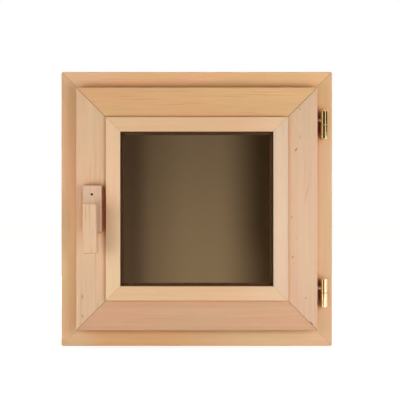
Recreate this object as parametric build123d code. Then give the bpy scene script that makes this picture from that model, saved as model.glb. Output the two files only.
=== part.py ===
from build123d import *

import os

# A small square side-hung casement window in pale wood, seen from the room side.
# Millimetres. X runs to the viewer's right, Y from the room into the wall, and Z up.
# The origin is the middle of the frame's underside.

# Outer frame: four mitred boards with a rebate for the sash and a stop behind it
FRAME_WIDTH = 400.0
FRAME_HEIGHT = 405.0
FRAME_DEPTH = 80.0
FRAME_BOARD = 36.0
STOP_LIP = 14.0
REBATE_DEPTH = 46.0
FRAME_EDGE_ROUND = 1.5
FRAME_CORNER_ROUND = 3.5
FRAME_KERF = 0.3

# Sash: four mitred members, an overlay in front of the frame and a body inside the rebate
SASH_SIDE_REVEAL = 24.25
SASH_END_REVEAL = 25.5
SASH_OVERLAY = 17.5
SASH_SEAT_GAP = 0.5
SASH_SIDE_GAP = 3.0
SASH_STOP_GAP = 3.0
SASH_FACE = 43.4
SASH_EDGE_ROUND = 0.8
SASH_CORNER_ROUND = 2.0
SASH_KERF = 0.4

# Glazing: a proud bead, the pane and a seal on each side of it
BEAD_FACE = 21.25
BEAD_PROUD = 5.0
BEAD_THICKNESS = 9.0
BEAD_FIT = 0.15
BEAD_EDGE_ROUND = 0.9
BEAD_CORNER_ROUND = 1.0
BEAD_KERF = 0.2
GLASS_THICKNESS = 6.0
GLASS_EDGE_GAP = 3.0
FRONT_SEAL = 2.0
BACK_SEAL = 1.5
SEAL_LINE = 1.0
SEAL_WIDTH = 12.0

# Shared joinery details: eased arrises and the depth of the open line at a mitre
ARRIS_ROUND = 0.8
KERF_DEPTH = 2.5

# Screw-in barrel hinges on the right
HINGE_INSET = 54.0
HINGE_OFFSET = 10.75
HINGE_STANDOFF = 4.0
KNUCKLE_RADIUS = 5.0
KNUCKLE_LENGTH = 20.8
KNUCKLE_GAP = 0.4
KNUCKLE_END_CHAMFER = 1.0
KNUCKLE_MEET_CHAMFER = 0.3
HINGE_PIN_RADIUS = 2.0
HINGE_PIN_REACH = 14.0
HINGE_PIN_FIT = 0.05
STUD_RADIUS = 3.0
STUD_RISE = 7.0
STUD_GRIP = 28.0
STUD_SEAT_WALL = 0.5
STUD_FIT = 0.05

# Turn handle on the left stile
LATCH_INSET = 24.35
BLOCK_WIDTH = 27.0
BLOCK_HEIGHT = 68.0
BLOCK_THICKNESS = 14.0
BLOCK_LONG_ROUND = 1.5
BLOCK_END_ROUND = 1.0
SCREW_SPACING = 42.0
SCREW_HEAD_RADIUS = 1.8
SCREW_HEAD_HEIGHT = 2.0
SCREW_HEAD_SUNK = 5.0
SCREW_HEAD_FIT = 0.1
SCREW_SHANK_RADIUS = 1.25
SCREW_GRIP = 14.0
SCREW_FIT = 0.05
LEVER_WIDTH = 18.6
LEVER_THICKNESS = 17.0
LEVER_HEAD = 7.5
LEVER_REACH = 63.0
LEVER_ROUND = 1.2
LEVER_TILT = 1.3
NECK_RADIUS = 7.0
NECK_LENGTH = 13.7
NECK_RUNNING_GAP = 0.3
SPINDLE_SIDE = 7.0
SPINDLE_SEAT = 22.0
SPINDLE_FIT = 0.05
SPINDLE_CLEARANCE = 0.4
TONGUE_DEPTH = 12.0
TONGUE_THICKNESS = 4.0
TONGUE_REACH = 22.0
TONGUE_WIDTH = 12.0
TONGUE_HEAD_RADIUS = 8.0
TONGUE_SIDE_GAP = 3.0
TONGUE_FACE_GAP = 1.5

# Planes in depth, from the room side to the back
FRAME_FRONT = -FRAME_DEPTH / 2
FRAME_BACK = FRAME_DEPTH / 2
STOP_FRONT = FRAME_FRONT + REBATE_DEPTH
OVERLAY_BACK = FRAME_FRONT - SASH_SEAT_GAP
SASH_FRONT = OVERLAY_BACK - SASH_OVERLAY
SASH_BACK = STOP_FRONT - SASH_STOP_GAP
BEAD_FRONT = SASH_FRONT - BEAD_PROUD
BEAD_BACK = BEAD_FRONT + BEAD_THICKNESS
GLASS_FRONT = BEAD_BACK + FRONT_SEAL
GLASS_BACK = GLASS_FRONT + GLASS_THICKNESS
GLAZING_LIP_FRONT = GLASS_BACK + BACK_SEAL
BLOCK_FRONT = SASH_FRONT - BLOCK_THICKNESS
NECK_BACK = BLOCK_FRONT - NECK_RUNNING_GAP
LEVER_BACK = NECK_BACK - NECK_LENGTH
LEVER_FRONT = LEVER_BACK - LEVER_THICKNESS
SPINDLE_FRONT = NECK_BACK - SPINDLE_SEAT
TONGUE_FRONT = FRAME_FRONT + TONGUE_DEPTH
TONGUE_BACK = TONGUE_FRONT + TONGUE_THICKNESS

# Sizes across the window, from the frame inward
CENTRE_HEIGHT = FRAME_HEIGHT / 2
SASH_WIDTH = FRAME_WIDTH - 2 * SASH_SIDE_REVEAL
SASH_HEIGHT = FRAME_HEIGHT - 2 * SASH_END_REVEAL
SASH_STEP = FRAME_BOARD - min(SASH_SIDE_REVEAL, SASH_END_REVEAL) + SASH_SIDE_GAP
SIGHT_INSET = SASH_FACE + BEAD_FACE
BEAD_WIDTH = SASH_WIDTH - 2 * (SASH_FACE + BEAD_FIT)
BEAD_HEIGHT = SASH_HEIGHT - 2 * (SASH_FACE + BEAD_FIT)
GLASS_WIDTH = SASH_WIDTH - 2 * (SASH_FACE + GLASS_EDGE_GAP)
GLASS_HEIGHT = SASH_HEIGHT - 2 * (SASH_FACE + GLASS_EDGE_GAP)
SIGHT_WIDTH = SASH_WIDTH - 2 * SIGHT_INSET
SIGHT_HEIGHT = SASH_HEIGHT - 2 * SIGHT_INSET

# Places of the hinges and the handle
HINGE_X = SASH_WIDTH / 2 + HINGE_OFFSET
HINGE_Y = FRAME_FRONT - HINGE_STANDOFF - KNUCKLE_RADIUS
HINGE_HEIGHTS = {
    "upper": CENTRE_HEIGHT + SASH_HEIGHT / 2 - HINGE_INSET,
    "lower": CENTRE_HEIGHT - SASH_HEIGHT / 2 + HINGE_INSET,
}
STUD_START = HINGE_PIN_RADIUS + HINGE_PIN_FIT + STUD_SEAT_WALL
LATCH_X = LATCH_INSET - SASH_WIDTH / 2
SCREW_HEIGHTS = {
    "upper": CENTRE_HEIGHT + SCREW_SPACING / 2,
    "lower": CENTRE_HEIGHT - SCREW_SPACING / 2,
}

# The four sides of a mitred ring, by the turn about Y that takes the bottom member there
SIDE_TURNS = {"bottom": 0, "left": 90, "top": 180, "right": -90}


def rounded_section(corners):
    """A closed outline from (across, along, corner radius) triples; a radius of 0 stays sharp."""
    section = make_face(Polyline(*[(across, along) for across, along, _ in corners], close=True))
    for across, along, radius in corners:
        if radius:
            section = fillet(section.vertices().sort_by_distance((across, along, 0))[0], radius)
    return section


def mitre_prism(length, inset, reach, start, end):
    """Everything between two 45 degree mitre planes, from depth start to depth end."""
    half = length / 2 - inset
    outline = Polyline((-half, 0), (half, 0), (half - reach, reach), (reach - half, reach), close=True)
    return extrude(Plane.XZ.offset(-end) * make_face(outline), end - start)


def mitred_ring(corners, width, height, corner_round, kerf):
    """Four mitred members of one section, given as (depth, inward distance, corner radius) triples.

    Neighbours meet face to face behind an open line, kerf wide, along each mitre's front edge.
    """
    section = rounded_section(corners)
    depths = [depth for depth, _, _ in corners]
    front = min(depths)
    back = max(depths)
    reach = max(inward for _, inward, _ in corners)
    envelope = extrude(Plane.XZ.offset(-back) * RectangleRounded(width, height, corner_round), back - front)
    members = {}
    for side, turn in SIDE_TURNS.items():
        length, across = (width, height) if side in ("top", "bottom") else (height, width)
        blank = extrude(Plane.YZ * section, length / 2, both=True)
        cut = mitre_prism(length, kerf / 2 ** 0.5, reach, front, front + KERF_DEPTH)
        cut += mitre_prism(length, 0, reach, front + KERF_DEPTH, back)
        member = Rot(0, turn, 0) * Pos(0, 0, -across / 2) * (blank & cut)
        members[side] = Pos(0, 0, CENTRE_HEIGHT) * (member & envelope)
    return members


def ring_plate(outer_width, outer_height, inner_width, inner_height, start, end):
    """A flat rectangular ring round the window's middle, from depth start to depth end."""
    outline = Rectangle(outer_width, outer_height) - Rectangle(inner_width, inner_height)
    plane = Plane.XZ.offset(-end)
    return Pos(0, 0, CENTRE_HEIGHT) * extrude(plane * outline, end - start)


def depth_bar(outline, x, z, start, end):
    """An outline in the window's plane, centred at (x, z), extruded from depth start to depth end."""
    return Pos(x, 0, z) * extrude(Plane.XZ.offset(-end) * outline, end - start)


def frame_members():
    stop_inner = FRAME_BOARD + STOP_LIP
    corners = [
        (FRAME_FRONT, 0, FRAME_EDGE_ROUND),
        (FRAME_FRONT, FRAME_BOARD, ARRIS_ROUND),
        (STOP_FRONT, FRAME_BOARD, 0),
        (STOP_FRONT, stop_inner, ARRIS_ROUND),
        (FRAME_BACK, stop_inner, ARRIS_ROUND),
        (FRAME_BACK, 0, ARRIS_ROUND),
    ]
    return mitred_ring(corners, FRAME_WIDTH, FRAME_HEIGHT, FRAME_CORNER_ROUND, FRAME_KERF)


def sash_members():
    corners = [
        (SASH_FRONT, 0, SASH_EDGE_ROUND),
        (SASH_FRONT, SASH_FACE, 0),
        (GLAZING_LIP_FRONT, SASH_FACE, 0),
        (GLAZING_LIP_FRONT, SIGHT_INSET, 0),
        (SASH_BACK, SIGHT_INSET, ARRIS_ROUND),
        (SASH_BACK, SASH_STEP, ARRIS_ROUND),
        (OVERLAY_BACK, SASH_STEP, 0),
        (OVERLAY_BACK, 0, ARRIS_ROUND),
    ]
    return mitred_ring(corners, SASH_WIDTH, SASH_HEIGHT, SASH_CORNER_ROUND, SASH_KERF)


def bead_members():
    inner = BEAD_FACE - BEAD_FIT
    corners = [
        (BEAD_FRONT, 0, BEAD_EDGE_ROUND),
        (BEAD_FRONT, inner, BEAD_EDGE_ROUND),
        (BEAD_BACK, inner, 0),
        (BEAD_BACK, 0, 0),
    ]
    return mitred_ring(corners, BEAD_WIDTH, BEAD_HEIGHT, BEAD_CORNER_ROUND, BEAD_KERF)


def glazing():
    front_inner = (SIGHT_WIDTH - 2 * SEAL_LINE, SIGHT_HEIGHT - 2 * SEAL_LINE)
    front_outer = (front_inner[0] + 2 * SEAL_WIDTH, front_inner[1] + 2 * SEAL_WIDTH)
    back_outer = (SIGHT_WIDTH + 2 * SEAL_WIDTH, SIGHT_HEIGHT + 2 * SEAL_WIDTH)
    pane = Rectangle(GLASS_WIDTH, GLASS_HEIGHT)
    return {
        "glass_pane": depth_bar(pane, 0, CENTRE_HEIGHT, GLASS_FRONT, GLASS_BACK),
        "glazing_seal_front": ring_plate(*front_outer, *front_inner, BEAD_BACK, GLASS_FRONT),
        "glazing_seal_back": ring_plate(
            *back_outer, SIGHT_WIDTH, SIGHT_HEIGHT, GLASS_BACK, GLAZING_LIP_FRONT
        ),
    }


def hinge_knuckle():
    """The upper half of a barrel, turned about Z, standing over the hinge's meeting plane."""
    bore = HINGE_PIN_RADIUS + HINGE_PIN_FIT
    low = KNUCKLE_GAP / 2
    high = low + KNUCKLE_LENGTH
    bore_end = HINGE_PIN_REACH + HINGE_PIN_FIT
    half_section = Polyline(
        (bore, low),
        (KNUCKLE_RADIUS - KNUCKLE_MEET_CHAMFER, low),
        (KNUCKLE_RADIUS, low + KNUCKLE_MEET_CHAMFER),
        (KNUCKLE_RADIUS, high - KNUCKLE_END_CHAMFER),
        (KNUCKLE_RADIUS - KNUCKLE_END_CHAMFER, high),
        (0, high),
        (0, bore_end),
        (bore, bore_end),
        close=True,
    )
    return revolve(Plane.XZ * make_face(half_section), Axis.Z)


def hinge_stud(radius, start, end):
    """A round stud along -X from the hinge's axis, at its height on the upper knuckle."""
    return Pos(0, 0, STUD_RISE) * Rot(0, -90, 0) * Pos(0, 0, (start + end) / 2) * Cylinder(radius, end - start)


def screw_stud(grip_start):
    return hinge_stud(STUD_RADIUS, STUD_START, grip_start + STUD_GRIP)


def hinge_pieces():
    """One hinge about the origin: the upper half holds the sash, the lower half is fixed to the frame.

    The lower half is the upper one turned over, with its stud swung round to point into the wall.
    """
    seat = hinge_stud(STUD_RADIUS + STUD_FIT, STUD_START, 2 * KNUCKLE_RADIUS)
    knuckle = hinge_knuckle() - seat
    to_frame = Rot(0, 0, -90) * Rot(180, 0, 0)
    return {
        "sash_knuckle": knuckle,
        "sash_stud": screw_stud(HINGE_OFFSET),
        "frame_knuckle": to_frame * knuckle,
        "frame_stud": to_frame * screw_stud(HINGE_STANDOFF + KNUCKLE_RADIUS),
        "pin": Cylinder(HINGE_PIN_RADIUS, 2 * HINGE_PIN_REACH),
    }


def hinge_holes():
    """The drillings for one hinge's two studs, about the hinge's own origin."""
    hole = STUD_RADIUS + STUD_FIT
    sash_hole = hinge_stud(hole, KNUCKLE_RADIUS, HINGE_OFFSET + STUD_GRIP + STUD_FIT)
    frame_hole = hinge_stud(hole, KNUCKLE_RADIUS, HINGE_STANDOFF + KNUCKLE_RADIUS + STUD_GRIP + STUD_FIT)
    return sash_hole, Rot(0, 0, -90) * Rot(180, 0, 0) * frame_hole


def latch_block():
    blank = depth_bar(Rectangle(BLOCK_WIDTH, BLOCK_HEIGHT), LATCH_X, CENTRE_HEIGHT, BLOCK_FRONT, SASH_FRONT)
    long_edges = blank.edges().filter_by(Axis.Z).group_by(Axis.Y)[0]
    block = fillet(long_edges, BLOCK_LONG_ROUND)
    end_edges = block.edges().filter_by(Axis.X).group_by(Axis.Y)[0]
    return fillet(end_edges, BLOCK_END_ROUND)


def screw_bar(radius, z, start, end):
    return depth_bar(Circle(radius), LATCH_X, z, start, end)


def latch_screw(z):
    head_front = BLOCK_FRONT + SCREW_HEAD_SUNK
    head_back = head_front + SCREW_HEAD_HEIGHT
    head = screw_bar(SCREW_HEAD_RADIUS, z, head_front, head_back)
    return head + screw_bar(SCREW_SHANK_RADIUS, z, head_back, SASH_FRONT + SCREW_GRIP)


def latch_screw_hole(z):
    head_back = BLOCK_FRONT + SCREW_HEAD_SUNK + SCREW_HEAD_HEIGHT
    head_hole = screw_bar(SCREW_HEAD_RADIUS + SCREW_HEAD_FIT, z, BLOCK_FRONT, head_back)
    shank_radius = SCREW_SHANK_RADIUS + SCREW_FIT
    return head_hole + screw_bar(shank_radius, z, head_back, SASH_FRONT + SCREW_GRIP + SCREW_FIT)


def spindle_bore(start, end):
    """The round clearance hole that the square spindle turns in."""
    radius = SPINDLE_SIDE / 2 * 2 ** 0.5 + SPINDLE_CLEARANCE
    return depth_bar(Circle(radius), LATCH_X, CENTRE_HEIGHT, start, end)


def tongue_pocket():
    """The slot in the stile's edge, and the mortise in the jamb, that the tongue turns in."""
    reach = TONGUE_REACH + TONGUE_SIDE_GAP
    margin = TONGUE_HEAD_RADIUS + TONGUE_SIDE_GAP
    outline = Pos((margin - reach) / 2, (margin - reach) / 2) * Rectangle(reach + margin, reach + margin)
    start = TONGUE_FRONT - TONGUE_FACE_GAP
    return depth_bar(outline, LATCH_X, CENTRE_HEIGHT, start, TONGUE_BACK + TONGUE_FACE_GAP)


def latch_moving():
    """Lever with its neck, square spindle and tongue, turned together by the closed handle's tilt."""
    spindle = Rectangle(SPINDLE_SIDE, SPINDLE_SIDE)
    spindle_hole = offset(spindle, SPINDLE_FIT, kind=Kind.INTERSECTION)
    bar = Pos(0, (LEVER_HEAD - LEVER_REACH) / 2) * Rectangle(LEVER_WIDTH, LEVER_HEAD + LEVER_REACH)
    lever = fillet(depth_bar(bar, 0, 0, LEVER_FRONT, LEVER_BACK).edges(), LEVER_ROUND)
    lever += depth_bar(Circle(NECK_RADIUS), 0, 0, LEVER_BACK, NECK_BACK)
    lever -= depth_bar(spindle_hole, 0, 0, SPINDLE_FRONT, NECK_BACK)
    tongue = Circle(TONGUE_HEAD_RADIUS) + Pos(-TONGUE_REACH / 2, 0) * Rectangle(TONGUE_REACH, TONGUE_WIDTH)
    pieces = {
        "latch_lever": lever,
        "latch_spindle": depth_bar(spindle, 0, 0, SPINDLE_FRONT, TONGUE_BACK),
        "latch_tongue": depth_bar(tongue - spindle_hole, 0, 0, TONGUE_FRONT, TONGUE_BACK),
    }
    place = Pos(LATCH_X, 0, CENTRE_HEIGHT) * Rot(0, -LEVER_TILT, 0)
    return {name: place * piece for name, piece in pieces.items()}


def window_nodes():
    frame = frame_members()
    sash = sash_members()
    bead = bead_members()
    block = latch_block()
    nodes = {f"bead_{side}": member for side, member in bead.items()}
    nodes |= glazing()

    for place, height in HINGE_HEIGHTS.items():
        spot = Pos(HINGE_X, HINGE_Y, height)
        sash_hole, frame_hole = hinge_holes()
        sash["right"] -= spot * sash_hole
        frame["right"] -= spot * frame_hole
        for piece, shape in hinge_pieces().items():
            nodes[f"hinge_{place}_{piece}"] = spot * shape

    for place, height in SCREW_HEIGHTS.items():
        nodes[f"latch_screw_{place}"] = latch_screw(height)
        block -= latch_screw_hole(height)
        sash["left"] -= latch_screw_hole(height)

    sash["left"] -= spindle_bore(SASH_FRONT, TONGUE_FRONT)
    sash["left"] -= tongue_pocket()
    frame["left"] -= tongue_pocket()
    nodes["latch_block"] = block - spindle_bore(BLOCK_FRONT, SASH_FRONT)
    nodes |= latch_moving()

    nodes["frame_head"] = frame["top"]
    nodes["frame_sill"] = frame["bottom"]
    nodes["frame_latch_jamb"] = frame["left"]
    nodes["frame_hinge_jamb"] = frame["right"]
    nodes["sash_top_rail"] = sash["top"]
    nodes["sash_bottom_rail"] = sash["bottom"]
    nodes["sash_latch_stile"] = sash["left"]
    nodes["sash_hinge_stile"] = sash["right"]
    return nodes


os.makedirs("parts", exist_ok=True)
for node, shape in window_nodes().items():
    export_step(shape, f"parts/{node}.step")
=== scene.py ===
from math import pi, radians

import bpy
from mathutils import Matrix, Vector


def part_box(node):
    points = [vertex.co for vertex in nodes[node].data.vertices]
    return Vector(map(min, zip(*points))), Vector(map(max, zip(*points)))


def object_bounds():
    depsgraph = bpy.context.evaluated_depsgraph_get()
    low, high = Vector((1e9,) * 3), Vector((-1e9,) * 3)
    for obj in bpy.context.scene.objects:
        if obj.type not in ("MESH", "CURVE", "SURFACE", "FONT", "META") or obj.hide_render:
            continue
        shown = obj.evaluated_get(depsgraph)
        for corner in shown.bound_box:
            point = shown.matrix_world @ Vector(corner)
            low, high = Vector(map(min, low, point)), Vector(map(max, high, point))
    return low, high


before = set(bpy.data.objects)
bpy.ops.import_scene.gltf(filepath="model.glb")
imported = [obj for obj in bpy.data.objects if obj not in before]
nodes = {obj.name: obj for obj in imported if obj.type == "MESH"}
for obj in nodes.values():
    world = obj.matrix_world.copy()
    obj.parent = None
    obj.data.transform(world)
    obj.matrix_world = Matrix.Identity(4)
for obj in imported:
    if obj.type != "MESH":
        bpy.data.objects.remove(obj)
cad_low, cad_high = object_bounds()

# Metres, in the part's own frame: X to the viewer's right, Y into the wall, Z up.

# The photograph's framing, in pixels of its square picture
PICTURE_PX = 400
FRAME_WIDTH_PX = 270.8
FRAME_CENTRE_PX = (196.8, 208.9)

# Camera: level, square on to the frame's front face
CAMERA_DISTANCE = 1.3
SENSOR_MM = 36.0

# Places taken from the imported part
frame_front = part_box("frame_latch_jamb")[0].y
sash_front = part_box("sash_latch_stile")[0].y
bead_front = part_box("bead_left")[0].y
sight_half_width = -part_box("bead_left")[1].x
frame_width = cad_high.x - cad_low.x
middle = (cad_low.z + cad_high.z) / 2
sight_half_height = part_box("bead_top")[0].z - middle


# Colours
WHITE = (1.0, 1.0, 1.0, 1.0)


def linear(display):
    """A display colour from 0 to 255 as a linear RGBA colour."""
    channels = [value / 255 for value in display]
    return (*[c / 12.92 if c <= 0.04045 else ((c + 0.055) / 1.055) ** 2.4 for c in channels], 1.0)


def tinted(colour, tint):
    return (*[channel * factor for channel, factor in zip(colour, tint)], 1.0)


# Shader helpers
def node(tree, kind, inputs=None, **settings):
    """A new shader node. inputs maps its sockets to values or to the outputs that feed them."""
    made = tree.nodes.new(kind)
    for name, value in settings.items():
        setattr(made, name, value)
    set_inputs(tree, made, inputs or {})
    return made


def set_inputs(tree, made, inputs):
    for name, value in inputs.items():
        if isinstance(value, bpy.types.NodeSocket):
            tree.links.new(value, made.inputs[name])
        else:
            made.inputs[name].default_value = value


def calc(tree, operation, first, second=0.0):
    return node(tree, "ShaderNodeMath", {0: first, 1: second}, operation=operation).outputs[0]


def vector_calc(tree, operation, first, second):
    return node(tree, "ShaderNodeVectorMath", {0: first, 1: second}, operation=operation).outputs[0]


def length_of(tree, vector):
    return node(tree, "ShaderNodeVectorMath", {0: vector}, operation="LENGTH").outputs["Value"]


def noise(tree, place, scale, detail=2.0):
    """Noise from 0 to 1 with its own scale per axis, in features per metre."""
    stretched = vector_calc(tree, "MULTIPLY", place, scale)
    inputs = {"Vector": stretched, "Scale": 1.0, "Detail": detail}
    return node(tree, "ShaderNodeTexNoise", inputs).outputs["Fac"]


def remap(tree, value, low, high, to_low=0.0, to_high=1.0):
    """A smooth step from to_low, where the value is low, to to_high, where it is high."""
    inputs = {"Value": value, "From Min": low, "From Max": high, "To Min": to_low, "To Max": to_high}
    return node(tree, "ShaderNodeMapRange", inputs, interpolation_type="SMOOTHSTEP").outputs["Result"]


def mix_colour(tree, factor, first, second):
    made = node(tree, "ShaderNodeMix", {0: factor, 6: first, 7: second}, data_type="RGBA")
    return made.outputs[2]


def multiply_colour(tree, first, second):
    made = node(tree, "ShaderNodeMix", {0: 1.0, 6: first, 7: second}, data_type="RGBA", blend_type="MULTIPLY")
    return made.outputs[2]


def grey_of(tree, value):
    return node(tree, "ShaderNodeCombineColor", {0: value, 1: value, 2: value}).outputs[0]


def empty_material(name):
    """A material with only its output, the shader tree to fill, and the socket that takes its surface."""
    material = bpy.data.materials.new(name)
    material.use_nodes = True
    tree = material.node_tree
    tree.nodes.clear()
    output = node(tree, "ShaderNodeOutputMaterial")
    return material, tree, output.inputs["Surface"]


def surface_material(name):
    """A material with a Principled surface still to be set."""
    material, tree, target = empty_material(name)
    surface = node(tree, "ShaderNodeBsdfPrincipled")
    tree.links.new(surface.outputs[0], target)
    return material, tree, surface


def emission_material(name, colour_of):
    """A material that only shines, in the colour that colour_of makes in its tree."""
    material, tree, target = empty_material(name)
    glow = node(tree, "ShaderNodeEmission", {"Color": colour_of(tree), "Strength": 1.0})
    tree.links.new(glow.outputs[0], target)
    return material


def bump(tree, height, distance):
    inputs = {"Height": height, "Distance": distance, "Strength": 1.0}
    return node(tree, "ShaderNodeBump", inputs).outputs["Normal"]


def part_place(tree):
    return node(tree, "ShaderNodeTexCoord").outputs["Object"]


def split_axes(tree, place):
    return node(tree, "ShaderNodeSeparateXYZ", {0: place}).outputs


# Wood: each member's display tone, the way its grain runs, a seed for its own stretch of wood
# and how strongly its fine lines show. The tones are fitted so that each member renders at its measured
# colour under these lamps, so they carry some painted light: the frame head's is raised for light that the
# lamps give it too little of.
WOOD_MEMBERS = {
    "frame_head": ((230, 183, 137), "X", 1.0, 0.5),
    "frame_sill": ((213, 166, 122), "X", 2.0, 0.5),
    "frame_latch_jamb": ((217, 175, 134), "Z", 3.0, 0.6),
    "frame_hinge_jamb": ((211, 174, 139), "Z", 4.0, 0.5),
    "sash_top_rail": ((214, 169, 122), "X", 5.0, 1.2),
    "sash_bottom_rail": ((202, 159, 126), "X", 6.0, 0.6),
    "sash_latch_stile": ((215, 178, 143), "Z", 7.0, 1.3),
    "sash_hinge_stile": ((206, 171, 142), "Z", 8.0, 0.5),
    "bead_top": ((219, 179, 140), "X", 9.0, 0.3),
    "bead_bottom": ((216, 179, 140), "X", 10.0, 0.3),
    "bead_left": ((220, 186, 150), "Z", 11.0, 0.4),
    "bead_right": ((211, 182, 155), "Z", 12.0, 0.3),
    "latch_block": ((208, 173, 148), "Z", 13.0, 1.3),
    "latch_lever": ((211, 173, 143), "Z", 14.0, 1.9),
}
SEED_STEP = Vector((1.7, 2.3, 3.1))

# The wood's patterns: features per metre across and along the grain, and the noise's detail
WOOD_PATTERNS = {
    "clouds": (26.0, 7.0, 1.0),
    "bands": (120.0, 2.6, 2.0),
    "dark_lines": (430.0, 11.0, 2.0),
    "light_lines": (390.0, 9.0, 2.0),
    "fibres": (1900.0, 30.0, 3.0),
    "pores": (2700.0, 120.0, 2.0),
}

# The noise values at which each pattern begins and is full
CLOUD_LIMITS = (0.32, 0.68)
BAND_LIMITS = (0.2, 0.8)
DARK_LINE_LIMITS = (0.58, 0.70)
LIGHT_LINE_LIMITS = (0.42, 0.30)
FIBRE_LIMITS = (0.25, 0.75)
PORE_LIMITS = (0.68, 0.78)

# What the patterns do to the wood's colour
DARK_LINE_SHARE = 0.34
DARK_LINE_TINT = (0.74, 0.61, 0.48)
LIGHT_LINE_SHARE = 0.50
LIGHT_LINE_TINT = (1.16, 1.17, 1.10)
BAND_VALUES = (0.96, 1.04)
FIBRE_VALUES = (-0.025, 0.025)
PORE_DARKNESS = 0.10

# The wood's relief, with how high fibres stand for pores of depth 1, and its sheen
GRAIN_RELIEF = 0.00005
FIBRE_HEIGHT = 0.4
FIBRE_SHEEN_LIMITS = (0.2, 0.8)
WOOD_ROUGHNESS = (0.52, 0.66)
WOOD_SPECULAR = 0.2

# The pink and the yellow of the wood's clouds, stronger on the frame
PLAIN_CLOUD_TINTS = ((1.02, 0.975, 0.97), (0.985, 1.02, 0.985))
CLOUD_TINTS = {"frame": ((1.04, 0.97, 0.96), (0.96, 1.00, 0.91))}

# Members that change their tint towards an end: the axis, where the change begins and ends, and the tint
END_TINTS = [
    ("bead_top", "X", 0.040, 0.125, (1.00, 1.09, 1.15)),
    ("bead_bottom", "X", 0.040, 0.125, (0.99, 1.07, 1.15)),
    ("frame_head", "X", -0.080, -0.190, (0.95, 1.03, 1.12)),
    ("frame_sill", "X", -0.060, 0.090, (1.03, 1.18, 1.40)),
    ("frame_sill", "X", -0.125, -0.185, (1.05, 1.18, 1.36)),
    ("frame_hinge_jamb", "Z", 0.285, 0.345, (1.02, 1.04, 0.87)),
    ("sash_latch_stile", "Z", 0.145, 0.115, (0.945, 0.945, 0.99)),
]

# How far out from its middle a mitre line or a fleck is at its darkest, as a share of its half width
MARK_CORE = 0.3

# How dark the closed line of a mitre is in each ring, and half its width
MITRE_LINES = {"frame": 0.12, "sash": 0.75, "bead": 0.08}
MITRE_LINE_HALF = 0.0007

# Flecks on the stiles' front faces:
# (x, height over the middle, length, width, lean to the right in degrees, darkness)
FLECKS = {
    "sash_hinge_stile": [
        (0.1445, 0.0862, 0.0080, 0.0024, 38, 0.95),
        (0.1501, 0.1454, 0.0034, 0.0024, 0, 0.80),
        (0.1507, 0.1050, 0.0110, 0.0018, 22, 0.34),
        (0.1382, -0.0120, 0.0042, 0.0022, 25, 0.75),
        (0.1394, -0.0703, 0.0048, 0.0026, 10, 0.75),
        (0.1446, -0.0426, 0.0060, 0.0020, 15, 0.34),
        (0.1590, -0.1301, 0.0044, 0.0032, 0, 0.40),
        (0.1600, 0.0230, 0.0420, 0.0026, 14, 0.20),
        (0.1673, -0.1666, 0.0090, 0.0024, -45, 0.85),
    ],
    "sash_latch_stile": [
        (-0.1666, -0.1281, 0.0095, 0.0018, 0, 0.80),
        (-0.1663, -0.1563, 0.0075, 0.0017, 0, 0.75),
        (-0.1540, -0.1090, 0.0300, 0.0012, 0, 0.22),
    ],
}
FLECK_DEPTH = 0.0015
MARK_BROWN = linear((118, 72, 44))

# A dark line painted along the lower end of the handle's pieces, and how far up it fades out
END_LINES = {"latch_lever": 0.60, "latch_block": 0.45}
END_LINE_HEIGHT = 0.0016

# A brown painted on a bead's narrow side towards the pane, how deep behind the front it begins and is
# full, how far past the edge it reaches, and how much of it each bead has
PANE_SIDE_BROWN = linear((52, 31, 18))
PANE_SIDE_START = 0.0004
PANE_SIDE_FULL = 0.0013
PANE_SIDE_REACH = 0.0004
PANE_SIDE_SHARES = {"bead_top": 1.0, "bead_bottom": 0.4, "bead_left": 1.0, "bead_right": 1.0}

# Painted shade where wood meets wood in a corner: a warm shade, and a deep brown shade in a gap, a power
# of its plain tone for the members where it shows more or less. Openness is 1 on a free face and 0 in a
# closed gap.
CORNER_REACH = 0.014
CORNER_SAMPLES = 8
SHADE_OPENNESS = (0.98, 0.55)
SHADE_TONE = (1.0, 0.92, 0.82, 1.0)
CREVICE_OPENNESS = (0.68, 0.26)
CREVICE_SHADE_TONE = (0.62, 0.28, 0.11)
CREVICE_SHADE_POWERS = {
    "frame_hinge_jamb": 2.8,
    "frame_sill": 0.1,
    "sash_hinge_stile": 0.3,
    "sash_latch_stile": 2.2,
    "latch_block": 0.6,
}
CORNER_FLOOR_CLEAR = (0.010, 0.020)


def grain_place(tree, place, grain, seed):
    """The part's coordinates with the grain turned along Z, and moved to a stretch of wood of its own."""
    axes = split_axes(tree, place)
    order = "YZX" if grain == "X" else "XYZ"
    turned = node(tree, "ShaderNodeCombineXYZ", {index: axes[axis] for index, axis in enumerate(order)})
    return vector_calc(tree, "ADD", turned.outputs[0], SEED_STEP * seed)


def wood_pattern(tree, along, pattern):
    """The noise of one of the wood's patterns."""
    across_scale, along_scale, detail = WOOD_PATTERNS[pattern]
    return noise(tree, along, (across_scale, across_scale, along_scale), detail)


def ring_excess(ring):
    """Half of how much taller than wide a ring of members is."""
    boxes = [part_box(name) for name in WOOD_MEMBERS if name.startswith(ring)]
    width = max(high.x for _, high in boxes) - min(low.x for low, _ in boxes)
    height = max(high.z for _, high in boxes) - min(low.z for low, _ in boxes)
    return (height - width) / 2


def mitre_line(tree, place, ring):
    """How dark the line is where two members of a ring meet at 45 degrees."""
    axes = split_axes(tree, place)
    rise = calc(tree, "ABSOLUTE", calc(tree, "SUBTRACT", axes["Z"], middle))
    past = calc(tree, "SUBTRACT", calc(tree, "ABSOLUTE", axes["X"]), rise)
    off = calc(tree, "ABSOLUTE", calc(tree, "ADD", past, ring_excess(ring)))
    return remap(tree, off, MITRE_LINE_HALF * MARK_CORE, MITRE_LINE_HALF, MITRE_LINES[ring], 0.0)


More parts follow.
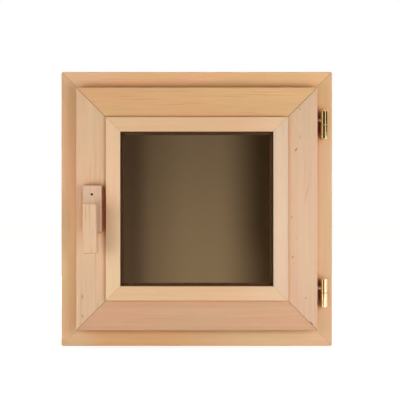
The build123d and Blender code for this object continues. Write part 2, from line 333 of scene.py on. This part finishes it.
def fleck(tree, place, x, rise, length, width, lean, darkness):
    """How dark one small fleck is, an ellipsoid at the sash's front face."""
    offset = vector_calc(tree, "SUBTRACT", place, (x, sash_front, middle + rise))
    upright = {"Vector": offset, "Angle": radians(-lean)}
    turned = node(tree, "ShaderNodeVectorRotate", upright, rotation_type="Y_AXIS")
    shape = (2 / width, 1 / FLECK_DEPTH, 2 / length)
    distance = length_of(tree, vector_calc(tree, "MULTIPLY", turned.outputs[0], shape))
    return remap(tree, distance, MARK_CORE, 1.0, darkness, 0.0)


def end_line(tree, place, member):
    """How dark the painted line is at the lower end of a member."""
    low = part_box(member)[0].z
    return remap(tree, split_axes(tree, place)["Z"], low, low + END_LINE_HEIGHT, END_LINES[member], 0.0)


def pane_side_share(tree, place, share):
    """Its share on a bead's narrow side towards the pane, behind its rounded edge, and 0 elsewhere."""
    axes = split_axes(tree, place)
    rise = calc(tree, "ABSOLUTE", calc(tree, "SUBTRACT", axes["Z"], middle))
    past_side = calc(tree, "SUBTRACT", calc(tree, "ABSOLUTE", axes["X"]), sight_half_width)
    past_end = calc(tree, "SUBTRACT", rise, sight_half_height)
    near = remap(tree, calc(tree, "MAXIMUM", past_side, past_end), PANE_SIDE_REACH, 0.0)
    deep = remap(tree, axes["Y"], bead_front + PANE_SIDE_START, bead_front + PANE_SIDE_FULL, 0.0, share)
    return calc(tree, "MULTIPLY", near, deep)


def corner_shade(tree, place, member):
    """Painted shade that warms and darkens a member's colour in corners and gaps, but not at the floor."""
    occlusion = node(tree, "ShaderNodeAmbientOcclusion", {"Distance": CORNER_REACH}, samples=CORNER_SAMPLES)
    openness = occlusion.outputs["AO"]
    clear = remap(tree, split_axes(tree, place)["Z"], *CORNER_FLOOR_CLEAR)
    near = calc(tree, "MULTIPLY", remap(tree, openness, *SHADE_OPENNESS), clear)
    deep = calc(tree, "MULTIPLY", remap(tree, openness, *CREVICE_OPENNESS), clear)
    brown = [channel ** CREVICE_SHADE_POWERS.get(member, 1.0) for channel in CREVICE_SHADE_TONE]
    return mix_colour(tree, deep, mix_colour(tree, near, WHITE, SHADE_TONE), (*brown, 1.0))


def wood(member, tone, grain, seed, lines):
    """Planed pale wood: pink and yellow clouds, growth bands, fine light and dark lines, fibres and pores."""
    material, tree, surface = surface_material("wood_" + member)
    place = part_place(tree)
    along = grain_place(tree, place, grain, seed)

    base = linear(tone)
    ring = member.split("_")[0]
    clouds = remap(tree, wood_pattern(tree, along, "clouds"), *CLOUD_LIMITS)
    pink, yellow = [tinted(base, tint) for tint in CLOUD_TINTS.get(ring, PLAIN_CLOUD_TINTS)]
    colour = mix_colour(tree, clouds, pink, yellow)

    bands = wood_pattern(tree, along, "bands")
    dark_lines = remap(tree, wood_pattern(tree, along, "dark_lines"), *DARK_LINE_LIMITS)
    light_lines = remap(tree, wood_pattern(tree, along, "light_lines"), *LIGHT_LINE_LIMITS)
    fibres = wood_pattern(tree, along, "fibres")
    pores = remap(tree, wood_pattern(tree, along, "pores"), *PORE_LIMITS)

    late_wood = calc(tree, "MULTIPLY", dark_lines, DARK_LINE_SHARE * lines)
    colour = mix_colour(tree, late_wood, colour, tinted(base, DARK_LINE_TINT))
    early_wood = calc(tree, "MULTIPLY", light_lines, LIGHT_LINE_SHARE * lines)
    colour = mix_colour(tree, early_wood, colour, tinted(base, LIGHT_LINE_TINT))
    value = remap(tree, bands, *BAND_LIMITS, *BAND_VALUES)
    value = calc(tree, "ADD", value, remap(tree, fibres, *FIBRE_LIMITS, *FIBRE_VALUES))
    value = calc(tree, "SUBTRACT", value, calc(tree, "MULTIPLY", pores, PORE_DARKNESS))
    colour = multiply_colour(tree, colour, grey_of(tree, value))
    # Painted shade in corners and gaps
    colour = multiply_colour(tree, colour, corner_shade(tree, place, member))
    for changing, axis, start, end, tint in END_TINTS:
        if changing == member:
            towards = remap(tree, split_axes(tree, place)[axis], start, end)
            colour = multiply_colour(tree, colour, mix_colour(tree, towards, WHITE, (*tint, 1.0)))

    marks = [fleck(tree, place, *shape) for shape in FLECKS.get(member, [])]
    if ring in MITRE_LINES:
        marks.append(mitre_line(tree, place, ring))
    if member in END_LINES:
        marks.append(end_line(tree, place, member))
    for mark in marks:
        colour = mix_colour(tree, mark, colour, MARK_BROWN)
    if member in PANE_SIDE_SHARES:
        colour = mix_colour(tree, pane_side_share(tree, place, PANE_SIDE_SHARES[member]), colour, PANE_SIDE_BROWN)

    height = calc(tree, "SUBTRACT", calc(tree, "MULTIPLY", fibres, FIBRE_HEIGHT), pores)
    set_inputs(tree, surface, {
        "Base Color": colour,
        "Roughness": remap(tree, fibres, *FIBRE_SHEEN_LIMITS, *WOOD_ROUGHNESS),
        "Specular IOR Level": WOOD_SPECULAR,
        "Normal": bump(tree, height, GRAIN_RELIEF),
    })
    return material


# Brass, bright and dull, on the barrels, and on the threaded studs darkened as painted shade
BARREL_BRASS = ((0.90, 0.71, 0.38, 1.0), (0.80, 0.58, 0.26, 1.0))
SHADED_STUD_BRASS = ((0.45, 0.32, 0.15, 1.0), (0.32, 0.21, 0.09, 1.0))
TARNISH_SCALE = (260.0, 260.0, 190.0)
TARNISH_LIMITS = (0.35, 0.7)
TARNISH_SHEEN_LIMITS = (0.3, 0.75)
BRASS_ROUGHNESS = (0.06, 0.13)
THREAD_PITCH = 0.00125
THREAD_RELIEF = 0.00015
LATHE_SCALE = (40.0, 40.0, 5200.0)
LATHE_RELIEF = 0.000002

# Steel: colour and roughness of the latch's parts and of the screws, and the lines along its length
LATCH_STEEL = ((0.56, 0.55, 0.53), 0.28)
SCREW_STEEL = ((0.035, 0.030, 0.027), 0.40)
STEEL_DULL_TINT = (0.72, 0.72, 0.72)
STEEL_LINE_SCALE = (2600.0, 60.0, 2600.0)
STEEL_LINE_LIMITS = (0.2, 0.8)
STEEL_LINE_RELIEF = 0.00002
STEEL_ROUGHNESS_SPREAD = 0.15
STEEL_MOTTLE_SCALE = (420.0, 420.0, 420.0)

# Glazing rubber, dark and pale
RUBBER_TONES = ((0.030, 0.014, 0.008, 1.0), (0.062, 0.030, 0.016, 1.0))
RUBBER_SKIN_SCALE = (1900.0, 1900.0, 1900.0)
RUBBER_SKIN_LIMITS = (0.2, 0.8)
RUBBER_SKIN_RELIEF = 0.00008
RUBBER_ROUGHNESS = (0.48, 0.66)

# Glass
GLASS_TINT = (0.200, 0.132, 0.068, 1.0)
GLASS_IOR = 1.5
GLASS_ROUGHNESS = (0.0, 0.03)
WIPING_SCALE = (22.0, 22.0, 60.0)
WIPING_LIMITS = (0.45, 0.75)

# The noise detail of tarnish, mottle, rubber and wiping marks
FINE_DETAIL = 4.0


def brass(name, thread_axis=None):
    """Polished brass with lathe lines and a little tarnish, or a stud's, with its thread along an axis."""
    material, tree, surface = surface_material(name)
    place = part_place(tree)
    tarnish = noise(tree, place, TARNISH_SCALE, FINE_DETAIL)
    if thread_axis:
        turn = calc(tree, "MULTIPLY", split_axes(tree, place)[thread_axis], 2 * pi / THREAD_PITCH)
        relief = bump(tree, calc(tree, "SINE", turn), THREAD_RELIEF)
    else:
        relief = bump(tree, noise(tree, place, LATHE_SCALE), LATHE_RELIEF)
    # The studs' brass is darkened to paint the shade in the gap between the sash and the barrel
    bright, dull = SHADED_STUD_BRASS if thread_axis else BARREL_BRASS
    set_inputs(tree, surface, {
        "Base Color": mix_colour(tree, remap(tree, tarnish, *TARNISH_LIMITS), bright, dull),
        "Metallic": 1.0,
        "Roughness": remap(tree, tarnish, *TARNISH_SHEEN_LIMITS, *BRASS_ROUGHNESS),
        "Normal": relief,
    })
    return material


def steel(name, colour, roughness):
    """Drawn steel with fine lines along its length and slightly uneven colour."""
    material, tree, surface = surface_material(name)
    place = part_place(tree)
    lines = noise(tree, place, STEEL_LINE_SCALE)
    mottle = noise(tree, place, STEEL_MOTTLE_SCALE, FINE_DETAIL)
    roughest = roughness + STEEL_ROUGHNESS_SPREAD
    set_inputs(tree, surface, {
        "Base Color": mix_colour(tree, mottle, (*colour, 1.0), tinted(colour, STEEL_DULL_TINT)),
        "Metallic": 1.0,
        "Roughness": remap(tree, lines, *STEEL_LINE_LIMITS, roughness, roughest),
        "Normal": bump(tree, lines, STEEL_LINE_RELIEF),
    })
    return material


def seal():
    """Dark brown glazing rubber with a fine skin."""
    material, tree, surface = surface_material("glazing_rubber")
    skin = noise(tree, part_place(tree), RUBBER_SKIN_SCALE, FINE_DETAIL)
    set_inputs(tree, surface, {
        "Base Color": mix_colour(tree, skin, *RUBBER_TONES),
        "Roughness": remap(tree, skin, *RUBBER_SKIN_LIMITS, *RUBBER_ROUGHNESS),
        "Normal": bump(tree, skin, RUBBER_SKIN_RELIEF),
    })
    return material


def bronze_glass():
    """Bronze-tinted float glass with the faintest wiping marks."""
    material, tree, surface = surface_material("bronze_glass")
    wiping = noise(tree, part_place(tree), WIPING_SCALE, FINE_DETAIL)
    set_inputs(tree, surface, {
        "Base Color": GLASS_TINT,
        "Transmission Weight": 1.0,
        "Roughness": remap(tree, wiping, *WIPING_LIMITS, *GLASS_ROUGHNESS),
        "IOR": GLASS_IOR,
    })
    return material


def dress(name, material):
    """Gives a CAD node its one material."""
    data = nodes[name].data
    data.materials.clear()
    data.materials.append(material)


def dress_part():
    """Gives every CAD node its material, by its name."""
    for name, member in WOOD_MEMBERS.items():
        dress(name, wood(name, *member))
    barrel_brass = brass("polished_brass")
    sash_stud_brass = brass("threaded_brass_across", "X")
    frame_stud_brass = brass("threaded_brass_inward", "Y")
    latch_steel = steel("drawn_steel", *LATCH_STEEL)
    screw_steel = steel("blackened_steel", *SCREW_STEEL)
    rubber = seal()
    for name in nodes:
        if name.endswith("_pin") or name in ("latch_spindle", "latch_tongue"):
            dress(name, latch_steel)
        elif name.endswith("_knuckle"):
            dress(name, barrel_brass)
        elif name.endswith("sash_stud"):
            dress(name, sash_stud_brass)
        elif name.endswith("frame_stud"):
            dress(name, frame_stud_brass)
        elif name.startswith("latch_screw"):
            dress(name, screw_steel)
        elif name.startswith("glazing_seal"):
            dress(name, rubber)
    dress("glass_pane", bronze_glass())


# Floor
FLOOR_SIZE = 16.0
FLOOR_DROP = 0.0003
FLOOR_WHITE = 0.80

# How far the floor is lifted to white for the camera, near the window, where lamps light it, and far away
FLOOR_LIFT_NEAR = 0.62
FLOOR_LIFT_FAR = 0.895
FLOOR_LIFT_REACH = (0.30, 1.60)


def flat_sheet(name, corners):
    """A stage rectangle from its four corners."""
    mesh = bpy.data.meshes.new(name)
    mesh.from_pydata([Vector(corner) for corner in corners], [], [(0, 1, 2, 3)])
    sheet = bpy.data.objects.new(name, mesh)
    bpy.context.scene.collection.objects.link(sheet)
    return sheet


def upright_sheet(name, start, end, heights):
    """A stage rectangle that stands over a line on the floor, from (x, y) to (x, y), between two heights."""
    low, high = heights
    return flat_sheet(name, [(*start, low), (*end, low), (*end, high), (*start, high)])


def seen_ray(tree):
    """1 for a ray from the camera, or one that metal or glass sends on, and 0 for a ray that only lights."""
    path = node(tree, "ShaderNodeLightPath").outputs
    direct = calc(tree, "MAXIMUM", path["Is Camera Ray"], path["Is Glossy Ray"])
    return calc(tree, "MAXIMUM", direct, path["Is Transmission Ray"])


def make_floor():
    """White paper, as white to the camera and in metal and glass as the world behind it."""
    half = FLOOR_SIZE / 2
    corners = [(-half, -half), (half, -half), (half, half), (-half, half)]
    floor = flat_sheet("floor", [(x, y, -FLOOR_DROP) for x, y in corners])
    material, tree, target = empty_material("white_floor")
    paper = node(tree, "ShaderNodeBsdfDiffuse", {"Color": (FLOOR_WHITE, FLOOR_WHITE, FLOOR_WHITE, 1.0)})
    away = length_of(tree, part_place(tree))
    level = remap(tree, away, *FLOOR_LIFT_REACH, FLOOR_LIFT_NEAR, FLOOR_LIFT_FAR)
    seen_level = calc(tree, "MULTIPLY", seen_ray(tree), level)
    lift = node(tree, "ShaderNodeEmission", {"Strength": seen_level})
    both = node(tree, "ShaderNodeAddShader", {0: paper.outputs[0], 1: lift.outputs[0]})
    tree.links.new(both.outputs[0], target)
    floor.data.materials.append(material)


def only_seen_by(obj, ray):
    """Hides an object from every kind of ray but one."""
    for kind in ("camera", "diffuse", "glossy", "transmission", "volume_scatter", "shadow"):
        setattr(obj, "visible_" + kind, kind == ray)


# What shows through the pane: the sheet's place, its dark tones at the left and the right, the x places of
# its slopes, each from dark to light, and how its level falls with height
BACKDROP_Y = 0.60
BACKDROP_REACH = 3.0
BACKDROP_LEFT = (0.34, 0.29, 0.29, 1.0)
BACKDROP_LEFT_STEEP = (-0.142, -0.095)
BACKDROP_LEFT_SLOW = (-0.135, -0.010)
BACKDROP_STEEP_SHARE = 0.42
BACKDROP_RIGHT = (0.165, 0.124, 0.084, 1.0)
BACKDROP_RIGHT_LIGHT = 0.045
BACKDROP_RIGHT_DARK = (0.168, 0.150)
BACKDROP_RIGHT_HEIGHTS = (0.06, 0.17)
BACKDROP_HEIGHTS = (0.05, 0.45)
BACKDROP_LEVELS = (1.09, 0.66)


def backdrop_colour(tree):
    """Light in the middle, dark and warmer to both sides, and a little darker upwards.

    On the left the light rises steeply at first and then slowly. On the right it falls in one slope, which
    ends further out low down.
    """
    axes = split_axes(tree, part_place(tree))
    steep = remap(tree, axes["X"], *BACKDROP_LEFT_STEEP, 0.0, BACKDROP_STEEP_SHARE)
    slow = remap(tree, axes["X"], *BACKDROP_LEFT_SLOW, 0.0, 1 - BACKDROP_STEEP_SHARE)
    left = mix_colour(tree, calc(tree, "ADD", steep, slow), BACKDROP_LEFT, WHITE)
    dark = remap(tree, axes["Z"], *BACKDROP_RIGHT_HEIGHTS, *BACKDROP_RIGHT_DARK)
    slope = remap(tree, axes["X"], dark, BACKDROP_RIGHT_LIGHT)
    right = mix_colour(tree, slope, BACKDROP_RIGHT, WHITE)
    upward = remap(tree, axes["Z"], *BACKDROP_HEIGHTS, *BACKDROP_LEVELS)
    return multiply_colour(tree, multiply_colour(tree, left, right), grey_of(tree, upward))


def make_backdrop():
    """A sheet behind the pane, which shows only through the glass."""
    ends = [(x, BACKDROP_Y) for x in (-BACKDROP_REACH, BACKDROP_REACH)]
    sheet = upright_sheet("backdrop", *ends, (0.0, BACKDROP_REACH))
    sheet.data.materials.append(emission_material("backdrop_light", backdrop_colour))
    only_seen_by(sheet, "transmission")


# Painted reflections: cards that only metal and glass see, unlit ones that paint dark reflections and one
# glowing reflector that paints a bright highlight, each standing over a line from (x, y) to (x, y), between
# two heights
UNLIT_CARDS = {
    "camera_stand": ((-0.18, -0.75), (0.18, -0.75), (0.0, 0.385)),
    "near_post": ((-0.12, -0.45), (0.07, -0.45), (0.0, 0.14)),
    "far_wall": ((-1.1, -1.45), (1.0, -1.45), (0.395, 0.90)),
    "side_wall": ((1.0, -0.55), (1.0, 0.90), (0.385, 0.80)),
    "side_post": ((0.60, -0.063), (0.60, 0.046), (0.0, 0.11)),
}
UNLIT_TONES = ((0.010, 0.009, 0.008, 1.0), (0.030, 0.027, 0.024, 1.0))
UNLIT_MOTTLE_SCALE = (2.0, 2.0, 2.0)
REFLECTOR = ((0.44, -0.455), (0.68, -0.20), (0.0, 0.12))
REFLECTOR_LIGHT = (1.7, 1.75, 2.6, 1.0)


def unlit_colour(tree):
    return mix_colour(tree, noise(tree, part_place(tree), UNLIT_MOTTLE_SCALE), *UNLIT_TONES)


def reflected_card(name, place, material):
    """A card that only metal and glass reflect."""
    card = upright_sheet(name, *place)
    card.data.materials.append(material)
    only_seen_by(card, "glossy")


def make_reflection_cards():
    for name, place in UNLIT_CARDS.items():
        reflected_card(name, place, emission_material("unlit_" + name, unlit_colour))
    reflected_card("reflector", REFLECTOR, emission_material("lit_reflector", lambda tree: REFLECTOR_LIGHT))


# Light: each share is a part of the light on the face that it falls on. On the window's front, the world's
# share, the lamps' and what the floor sends up come to about 1, so that tones render as written.
AMBIENT_SHARE = 0.16
AMBIENT_TONE = (1.0, 0.88, 0.76, 1.0)
LAMP_TONE = (1.0, 1.02, 1.045)
FRONTWARD = Vector((0.0, -1.0, 0.0))
UPWARD = Vector((0.0, 0.0, 1.0))

# Lamps: place (x, y behind the frame's front, z), size, share, and the way the lit face looks, or for the
# lamp behind the window the opposite way
LAMPS = {
    "left": ((-0.475, -0.50, 0.17), 0.36, 0.32, FRONTWARD),
    "right": ((0.44, -0.60, 0.17), 0.36, 0.41, FRONTWARD),
    "far_right": ((1.10, -0.30, 0.22), 0.30, 0.06, FRONTWARD),
    "behind": ((-0.10, 1.30, 0.35), 0.90, 0.60, FRONTWARD),
    "above": ((0.10, 0.25, 1.60), 0.80, 0.45, UPWARD),
}


def make_world():
    """White to the camera and in metal and glass, and a soft warm light elsewhere."""
    world = bpy.data.worlds.new("studio")
    bpy.context.scene.world = world
    world.use_nodes = True
    tree = world.node_tree
    tree.nodes.clear()
    seen = seen_ray(tree)
    level = remap(tree, seen, 0.0, 1.0, AMBIENT_SHARE, 1.0)
    tone = mix_colour(tree, seen, AMBIENT_TONE, WHITE)
    light = node(tree, "ShaderNodeBackground", {"Color": tone, "Strength": level})
    output = node(tree, "ShaderNodeOutputWorld")
    tree.links.new(light.outputs[0], output.inputs["Surface"])


def window_lamp(name, place, size, share, facing):
    """A soft lamp aimed at the window's middle, with its share of the light on the face that it lights."""
    x, behind_front, z = place
    stand = Vector((x, frame_front + behind_front, z))
    aim = Vector((0.0, frame_front, middle)) - stand
    data = bpy.data.lights.new(name, "AREA")
    data.shape = "SQUARE"
    data.size = size
    data.color = LAMP_TONE
    data.energy = share * pi ** 2 * aim.length ** 3 / abs(aim.dot(facing))
    lamp = bpy.data.objects.new(name, data)
    lamp.location = stand
    lamp.rotation_mode = "QUATERNION"
    lamp.rotation_quaternion = aim.to_track_quat("-Z", "Y")
    bpy.context.scene.collection.objects.link(lamp)
    for ray in ("camera", "glossy", "transmission"):
        setattr(lamp, "visible_" + ray, False)


def make_lights():
    for name, lamp in LAMPS.items():
        window_lamp(name, *lamp)


def make_camera():
    """A camera that gives the frame's front face the photograph's size and place."""
    data = bpy.data.cameras.new("camera")
    camera = bpy.data.objects.new("camera", data)
    bpy.context.scene.collection.objects.link(camera)
    camera.location = (0.0, frame_front - CAMERA_DISTANCE, middle)
    camera.rotation_euler = (radians(90), 0.0, 0.0)
    data.sensor_width = SENSOR_MM
    picture_width = frame_width * PICTURE_PX / FRAME_WIDTH_PX
    data.lens = SENSOR_MM * CAMERA_DISTANCE / picture_width
    data.shift_x = (PICTURE_PX / 2 - FRAME_CENTRE_PX[0]) / PICTURE_PX
    data.shift_y = (FRAME_CENTRE_PX[1] - PICTURE_PX / 2) / PICTURE_PX
    bpy.context.scene.camera = camera


bpy.context.scene.view_settings.view_transform = "Standard"
dress_part()
make_floor()
make_backdrop()
make_reflection_cards()
make_world()
make_lights()
make_camera()
